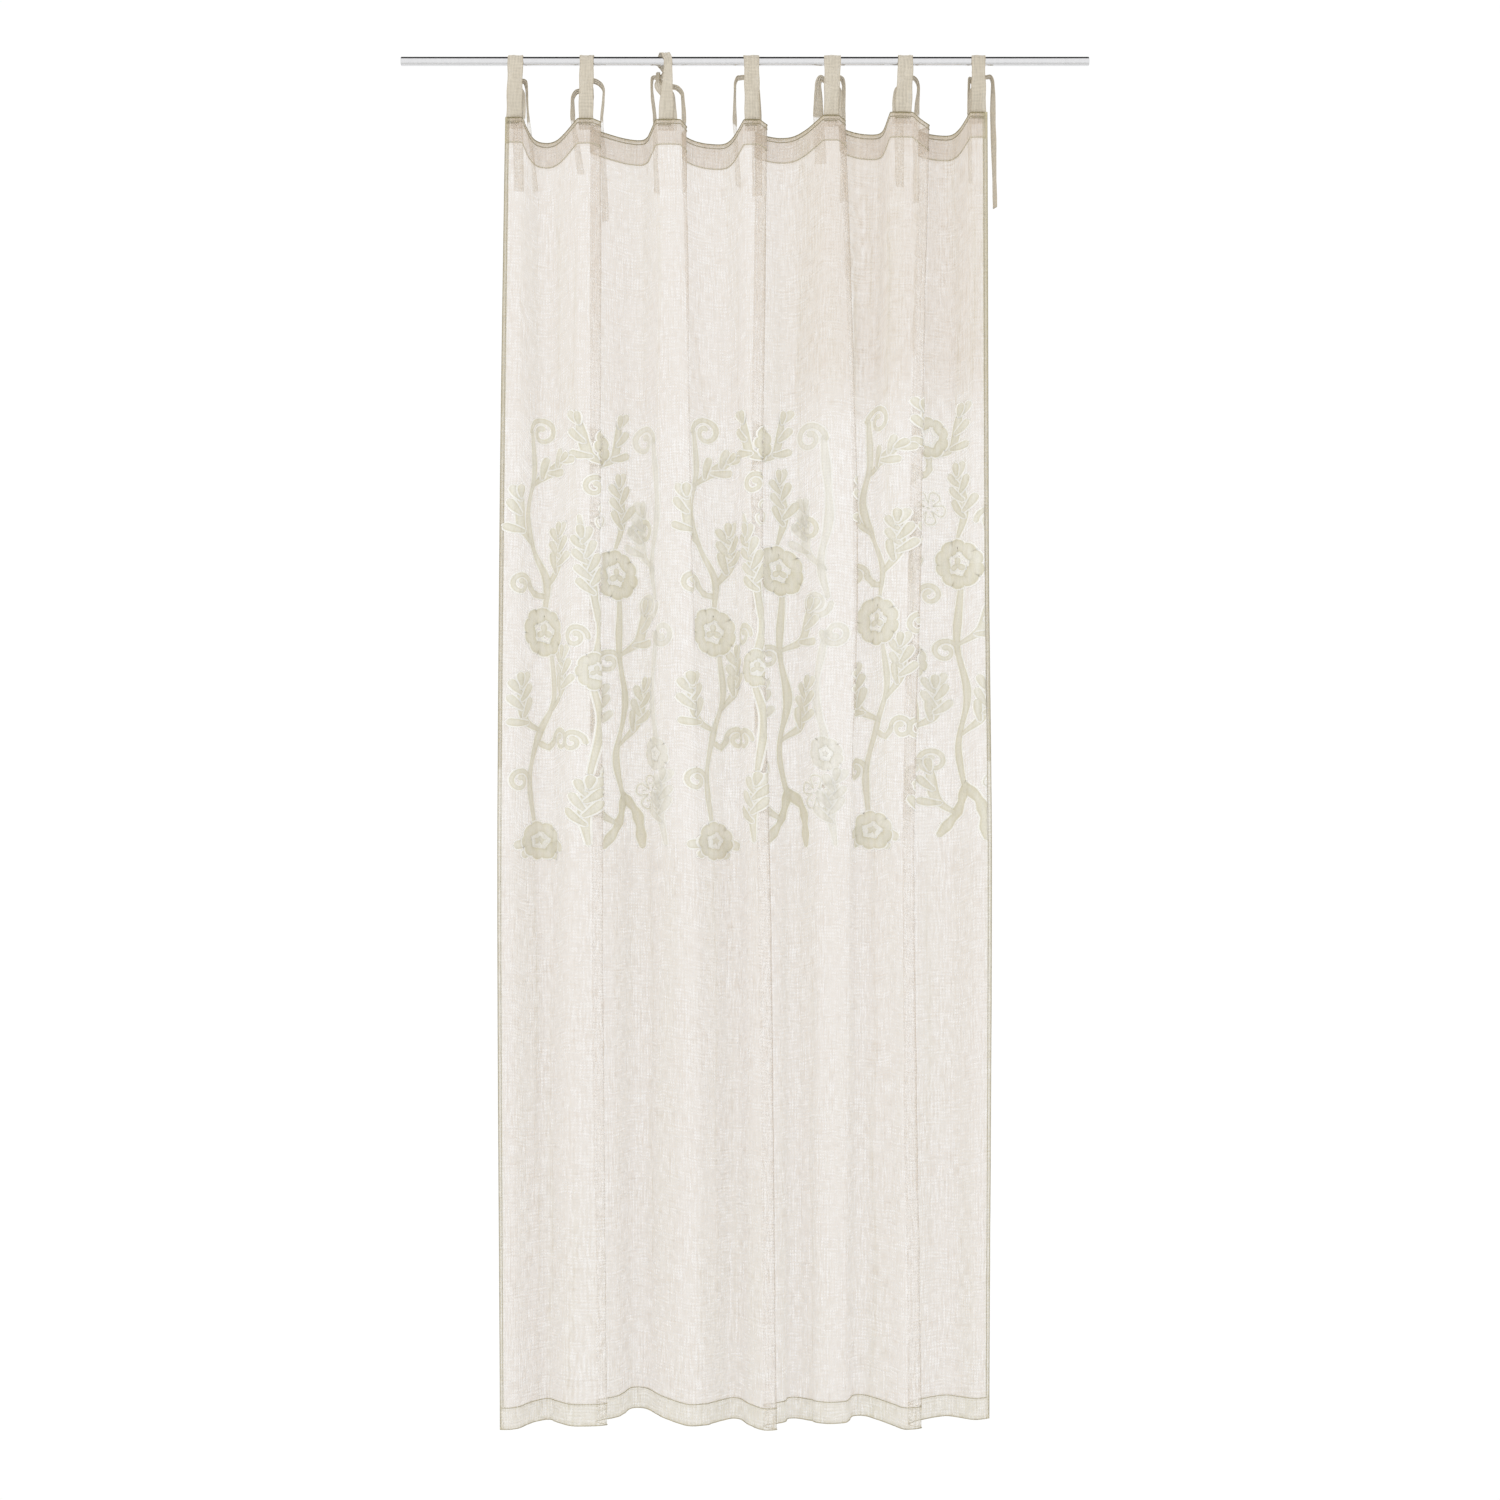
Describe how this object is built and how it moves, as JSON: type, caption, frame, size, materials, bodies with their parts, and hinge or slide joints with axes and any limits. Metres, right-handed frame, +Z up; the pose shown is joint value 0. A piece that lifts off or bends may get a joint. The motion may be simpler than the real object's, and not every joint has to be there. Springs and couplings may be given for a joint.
{
  "type": "sheer voile curtain with tie tops on a plain metal rod",
  "caption": "Long sheer panel with a scalloped heading, tied with cloth straps to a thin round rod, hanging in soft folds with a few narrow tucks.",
  "frame": {"origin": "on the rod's axis at the middle of its length", "axes": "+Z up along the hang of the cloth, +X along the rod to the right as seen from the front, and the front faces -Y"},
  "size_m": [1.228, 0.1025, 2.4512],
  "materials": {
    "rod_metal": "satin, pale grey",
    "voile": "sheer crinkled cotton gauze, warm white",
    "tie_cloth": "the same gauze sewn double, beige where it is layered"
  },
  "bodies": {
    "root": {"rod": "rod_metal", "panel": "voile", "tie_front_1": "tie_cloth", "tie_front_2": "tie_cloth", "tie_front_3": "tie_cloth", "tie_front_4": "tie_cloth", "tie_front_5": "tie_cloth", "tie_front_6": "tie_cloth", "tie_front_7": "tie_cloth", "tie_back_1": "tie_cloth", "tie_back_2": "tie_cloth", "tie_back_3": "tie_cloth", "tie_back_4": "tie_cloth", "tie_back_5": "tie_cloth", "tie_back_6": "tie_cloth", "tie_back_7": "tie_cloth"}
  },
  "joints": []
}
